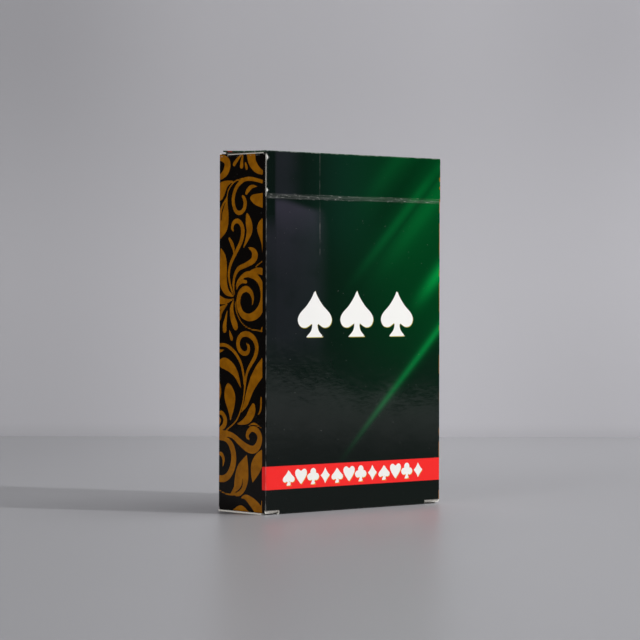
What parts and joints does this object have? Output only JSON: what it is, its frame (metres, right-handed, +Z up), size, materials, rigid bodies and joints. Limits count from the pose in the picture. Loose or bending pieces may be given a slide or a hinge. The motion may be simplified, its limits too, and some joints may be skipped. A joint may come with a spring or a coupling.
{
  "type": "playing card deck",
  "caption": "Boxed deck of playing cards: an upright paperboard tuck box whose lid turns down over a crease in the front, with tuck flap, dust flaps and a deck of loose cards that slides up.",
  "frame": {"origin": "middle of the base, on the surface that the box stands on", "axes": "+Z up along the height of the box, -Y out of the front, +X to the right as seen from the front"},
  "size_m": [0.0606, 0.0184, 0.091],
  "materials": {
    "green_gloss_board": "gloss",
    "black_gloss_board": "gloss",
    "bare_board": "matte",
    "card_stock": "satin"
  },
  "bodies": {
    "carton": {"front_panel": "green_gloss_board", "back_panel": "green_gloss_board", "left_side_panel": "black_gloss_board", "right_side_panel": "black_gloss_board", "glue_flap": "bare_board", "bottom_panel": "green_gloss_board", "bottom_inner_flap": "bare_board", "bottom_left_flap": "bare_board", "bottom_right_flap": "bare_board"},
    "deck": {"ace_of_spades": "card_stock", "two_of_spades": "card_stock", "three_of_spades": "card_stock", "four_of_spades": "card_stock", "five_of_spades": "card_stock", "six_of_spades": "card_stock", "seven_of_spades": "card_stock", "eight_of_spades": "card_stock", "nine_of_spades": "card_stock", "ten_of_spades": "card_stock", "ace_of_diamonds": "card_stock", "two_of_diamonds": "card_stock", "three_of_diamonds": "card_stock", "four_of_diamonds": "card_stock", "five_of_diamonds": "card_stock", "six_of_diamonds": "card_stock", "seven_of_diamonds": "card_stock", "eight_of_diamonds": "card_stock", "nine_of_diamonds": "card_stock", "ten_of_diamonds": "card_stock", "ace_of_clubs": "card_stock", "two_of_clubs": "card_stock", "three_of_clubs": "card_stock", "four_of_clubs": "card_stock", "five_of_clubs": "card_stock", "six_of_clubs": "card_stock", "seven_of_clubs": "card_stock", "eight_of_clubs": "card_stock", "nine_of_clubs": "card_stock", "ten_of_clubs": "card_stock", "ace_of_hearts": "card_stock", "two_of_hearts": "card_stock", "three_of_hearts": "card_stock", "four_of_hearts": "card_stock", "five_of_hearts": "card_stock", "six_of_hearts": "card_stock", "seven_of_hearts": "card_stock", "eight_of_hearts": "card_stock", "nine_of_hearts": "card_stock", "ten_of_hearts": "card_stock", "jacks": "card_stock", "queens": "card_stock", "kings": "card_stock", "jokers": "card_stock"},
    "lid_strip": {"lid_strip": "green_gloss_board"},
    "lid_top": {"lid_top": "black_gloss_board"},
    "tuck_flap": {"tuck_flap": "bare_board"},
    "left_dust_flap": {"left_dust_flap": "bare_board"},
    "right_dust_flap": {"right_dust_flap": "bare_board"}
  },
  "joints": [
    {"name": "deck_rise", "type": "slide", "parent": "carton", "child": "deck", "axis": [0, 0, 1], "range_m": [0, 0.012]},
    {"name": "front_crease", "type": "hinge", "parent": "carton", "child": "lid_strip", "pos_m": [0, -0.00907, 0.08], "axis": [1, 0, 0], "range_deg": [0, 100]},
    {"name": "lid_fold", "type": "hinge", "parent": "lid_strip", "child": "lid_top", "pos_m": [0, -0.00907, 0.09083], "axis": [1, 0, 0], "range_deg": [0, 105]},
    {"name": "tuck_fold", "type": "hinge", "parent": "lid_top", "child": "tuck_flap", "pos_m": [0, 0.00822, 0.09083], "axis": [-1, 0, 0], "range_deg": [0, 31]},
    {"name": "left_dust_fold", "type": "hinge", "parent": "carton", "child": "left_dust_flap", "pos_m": [-0.03012, 0, 0.09043], "axis": [0, -1, 0], "range_deg": [0, 138]},
    {"name": "right_dust_fold", "type": "hinge", "parent": "carton", "child": "right_dust_flap", "pos_m": [0.03012, 0, 0.09043], "axis": [0, 1, 0], "range_deg": [0, 138]}
  ],
  "couplings": [
    {"joint": "front_crease", "follows": "deck_rise", "rad_per_m": 145.44},
    {"joint": "lid_fold", "follows": "deck_rise", "rad_per_m": 152.71},
    {"joint": "tuck_fold", "follows": "deck_rise", "rad_per_m": 45.08},
    {"joint": "left_dust_fold", "follows": "deck_rise", "rad_per_m": 200.71},
    {"joint": "right_dust_fold", "follows": "deck_rise", "rad_per_m": 200.71}
  ]
}
